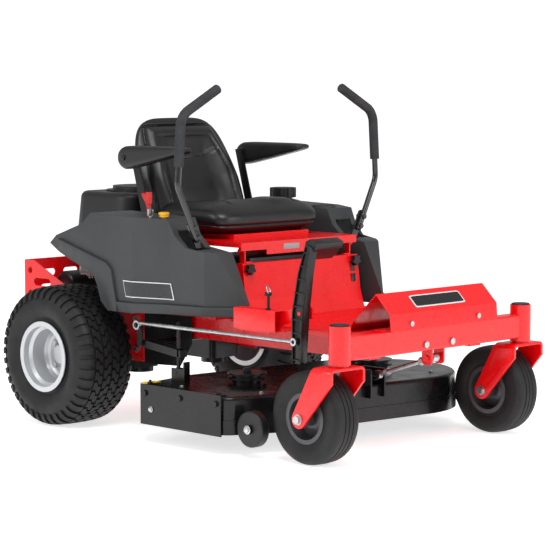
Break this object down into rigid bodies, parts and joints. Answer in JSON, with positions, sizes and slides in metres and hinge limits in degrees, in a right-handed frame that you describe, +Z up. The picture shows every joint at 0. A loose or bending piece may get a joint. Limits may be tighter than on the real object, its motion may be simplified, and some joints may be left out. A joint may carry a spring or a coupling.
{
  "type": "zero turn mower",
  "caption": "Riding zero-turn lawn mower with twin lap-bar levers, front casters, padded seat, rear engine and a belly deck with blades.",
  "frame": {"origin": "centre of the bounding box on the ground plane under the tyres", "axes": "+Z up, -Y the way the machine drives forward, -X the machine's right side"},
  "size_m": [1.1198, 1.66, 1.1107],
  "materials": {
    "frame_red": "gloss red powder coat",
    "fender_grey": "textured charcoal moulded plastic",
    "vinyl": "black vinyl",
    "black_paint": "semi-gloss black paint",
    "gloss_black": "gloss black",
    "foam": "dark foam rubber",
    "tyre": "black rubber",
    "rim_silver": "silver painted steel",
    "rim_grey": "dark grey painted steel",
    "zinc": "zinc plated",
    "cast_alu": "cast aluminium",
    "matte_black": "matt black plastic",
    "red_plastic": "red plastic",
    "yellow_plastic": "yellow plastic",
    "filter_white": "white painted can",
    "pulley_grey": "grey painted steel"
  },
  "bodies": {
    "chassis": {"main_frame": "frame_red", "front_axle": "frame_red", "caps_and_knobs": "matte_black", "drive_guard": "matte_black", "floor_pan": "frame_red", "footrest": "frame_red", "front_panel": "frame_red", "fender_right": "fender_grey", "fender_left": "fender_grey", "fuel_tank": "matte_black", "control_panel": "matte_black", "engine_block": "cast_alu", "engine_shroud": "matte_black", "intake_grille": "matte_black", "oil_filter": "filter_white", "muffler": "pulley_grey", "rear_guard": "frame_red", "transaxle_right": "cast_alu", "transaxle_left": "cast_alu", "lift_bracket": "frame_red", "frame_bolts": "zinc"},
    "rear_wheel_right": {"rear_tyre_right": "tyre", "rear_rim_right": "rim_silver"},
    "rear_wheel_left": {"rear_tyre_left": "tyre", "rear_rim_left": "rim_silver"},
    "caster_right": {"caster_fork_right": "frame_red", "caster_bolt_right": "zinc"},
    "caster_left": {"caster_fork_left": "frame_red", "caster_bolt_left": "zinc"},
    "caster_wheel_right": {"caster_tyre_right": "tyre", "caster_rim_right": "rim_grey"},
    "caster_wheel_left": {"caster_tyre_left": "tyre", "caster_rim_left": "rim_grey"},
    "lever_right": {"lever_base_right": "black_paint"},
    "lever_left": {"lever_base_left": "black_paint"},
    "lap_right": {"lap_bar_right": "gloss_black", "lever_grip_right": "foam"},
    "lap_left": {"lap_bar_left": "gloss_black", "lever_grip_left": "foam"},
    "seat": {"seat_pan": "frame_red", "seat_cushion": "vinyl", "seat_back": "vinyl", "seat_frame": "black_paint"},
    "arm_right": {"armrest_right": "vinyl"},
    "arm_left": {"armrest_left": "vinyl"},
    "deck": {"deck_shell": "black_paint", "deck_cover": "black_paint"},
    "gauge_right": {"gauge_wheel_right": "matte_black"},
    "gauge_left": {"gauge_wheel_left": "matte_black"},
    "blade_right": {"blade_spindle_right": "pulley_grey"},
    "blade_left": {"blade_spindle_left": "pulley_grey"},
    "front_link": {"deck_rod": "zinc"},
    "pedal": {"lift_pedal": "black_paint"},
    "rod": {"lift_rod": "zinc"},
    "shaft": {"lift_shaft": "black_paint"},
    "pin": {"height_pin": "matte_black"},
    "throttle": {"throttle_lever": "red_plastic"},
    "pto": {"pto_knob": "yellow_plastic"},
    "key": {"ignition_key": "zinc"},
    "cap": {"fuel_cap": "matte_black"}
  },
  "joints": [
    {"name": "rear_wheel_right_spin", "type": "hinge", "parent": "chassis", "child": "rear_wheel_right", "pos_m": [-0.452, 0.418, 0.2285], "axis": [1, 0, 0], "continuous": true},
    {"name": "caster_right_swivel", "type": "hinge", "parent": "chassis", "child": "caster_right", "pos_m": [-0.414, -0.78, 0.36], "axis": [0, 0, 1], "continuous": true},
    {"name": "caster_wheel_right_spin", "type": "hinge", "parent": "caster_right", "child": "caster_wheel_right", "pos_m": [-0.414, -0.682, 0.14], "axis": [1, 0, 0], "continuous": true},
    {"name": "lever_right_drive", "type": "hinge", "parent": "chassis", "child": "lever_right", "pos_m": [-0.345, -0.1125, 0.545], "axis": [1, 0, 0], "range_deg": [-10, 10]},
    {"name": "lap_right_swing", "type": "hinge", "parent": "lever_right", "child": "lap_right", "pos_m": [-0.345, -0.1125, 0.585], "axis": [0, -1, 0], "range_deg": [-28, 0]},
    {"name": "armrest_right_fold", "type": "hinge", "parent": "seat", "child": "arm_right", "pos_m": [-0.255, 0.324, 0.868], "axis": [-1, 0, 0], "range_deg": [0, 85]},
    {"name": "gauge_right_spin", "type": "hinge", "parent": "deck", "child": "gauge_right", "pos_m": [-0.484, -0.491, 0.09], "axis": [1, 0, 0], "continuous": true},
    {"name": "blade_right_spin", "type": "hinge", "parent": "deck", "child": "blade_right", "pos_m": [-0.258, -0.232, 0.15], "axis": [0, 0, 1], "continuous": true},
    {"name": "rear_wheel_left_spin", "type": "hinge", "parent": "chassis", "child": "rear_wheel_left", "pos_m": [0.452, 0.418, 0.2285], "axis": [1, 0, 0], "continuous": true},
    {"name": "caster_left_swivel", "type": "hinge", "parent": "chassis", "child": "caster_left", "pos_m": [0.414, -0.78, 0.36], "axis": [0, 0, 1], "continuous": true},
    {"name": "caster_wheel_left_spin", "type": "hinge", "parent": "caster_left", "child": "caster_wheel_left", "pos_m": [0.414, -0.682, 0.14], "axis": [1, 0, 0], "continuous": true},
    {"name": "lever_left_drive", "type": "hinge", "parent": "chassis", "child": "lever_left", "pos_m": [0.345, -0.1125, 0.545], "axis": [1, 0, 0], "range_deg": [-10, 10]},
    {"name": "lap_left_swing", "type": "hinge", "parent": "lever_left", "child": "lap_left", "pos_m": [0.345, -0.1125, 0.585], "axis": [0, 1, 0], "range_deg": [-28, 0]},
    {"name": "armrest_left_fold", "type": "hinge", "parent": "seat", "child": "arm_left", "pos_m": [0.255, 0.324, 0.868], "axis": [-1, 0, 0], "range_deg": [0, 85]},
    {"name": "gauge_left_spin", "type": "hinge", "parent": "deck", "child": "gauge_left", "pos_m": [0.516, -0.491, 0.09], "axis": [1, 0, 0], "continuous": true},
    {"name": "blade_left_spin", "type": "hinge", "parent": "deck", "child": "blade_left", "pos_m": [0.258, -0.292, 0.15], "axis": [0, 0, 1], "continuous": true},
    {"name": "seat_tilt", "type": "hinge", "parent": "chassis", "child": "seat", "pos_m": [0, -0.193, 0.592], "axis": [1, 0, 0], "range_deg": [0, 35]},
    {"name": "deck_lift", "type": "slide", "parent": "chassis", "child": "deck", "axis": [0, 0, 1], "range_m": [0, 0.06]},
    {"name": "lift_shaft_turn", "type": "hinge", "parent": "chassis", "child": "shaft", "pos_m": [0, 0.088, 0.29], "axis": [1, 0, 0], "range_deg": [-23, 0]},
    {"name": "pedal_turn", "type": "hinge", "parent": "chassis", "child": "pedal", "pos_m": [-0.412, -0.625, 0.442], "axis": [1, 0, 0], "range_deg": [0, 17]},
    {"name": "lift_rod_turn", "type": "hinge", "parent": "pedal", "child": "rod", "pos_m": [-0.436, -0.614, 0.358], "axis": [1, 0, 0], "range_deg": [-18, 0]},
    {"name": "front_link_turn", "type": "hinge", "parent": "chassis", "child": "front_link", "pos_m": [0, -0.778, 0.287], "axis": [1, 0, 0], "range_deg": [0, 14]},
    {"name": "throttle_turn", "type": "hinge", "parent": "chassis", "child": "throttle", "pos_m": [-0.405, 0.06, 0.655], "axis": [1, 0, 0], "range_deg": [-20, 12]},
    {"name": "pto_pull", "type": "slide", "parent": "chassis", "child": "pto", "axis": [0, 0, 1], "range_m": [0, 0.012]},
    {"name": "key_turn", "type": "hinge", "parent": "chassis", "child": "key", "pos_m": [-0.426, 0.032, 0.7], "axis": [0, 0, 1], "range_deg": [0, 75]},
    {"name": "cap_turn", "type": "hinge", "parent": "chassis", "child": "cap", "pos_m": [0.35, 0.22, 0.73], "axis": [0, 0, 1], "range_deg": [0, 90]},
    {"name": "height_pin_lift", "type": "slide", "parent": "chassis", "child": "pin", "axis": [0, 0, 1], "range_m": [0, 0.04]}
  ],
  "couplings": [
    {"joint": "lift_shaft_turn", "follows": "deck_lift", "rad_per_m": -6.51},
    {"joint": "pedal_turn", "follows": "deck_lift", "rad_per_m": 4.683},
    {"joint": "lift_rod_turn", "follows": "deck_lift", "rad_per_m": -4.941},
    {"joint": "front_link_turn", "follows": "deck_lift", "rad_per_m": 3.852},
    {"joint": "blade_left_spin", "follows": "blade_right_spin", "ratio": 1}
  ]
}
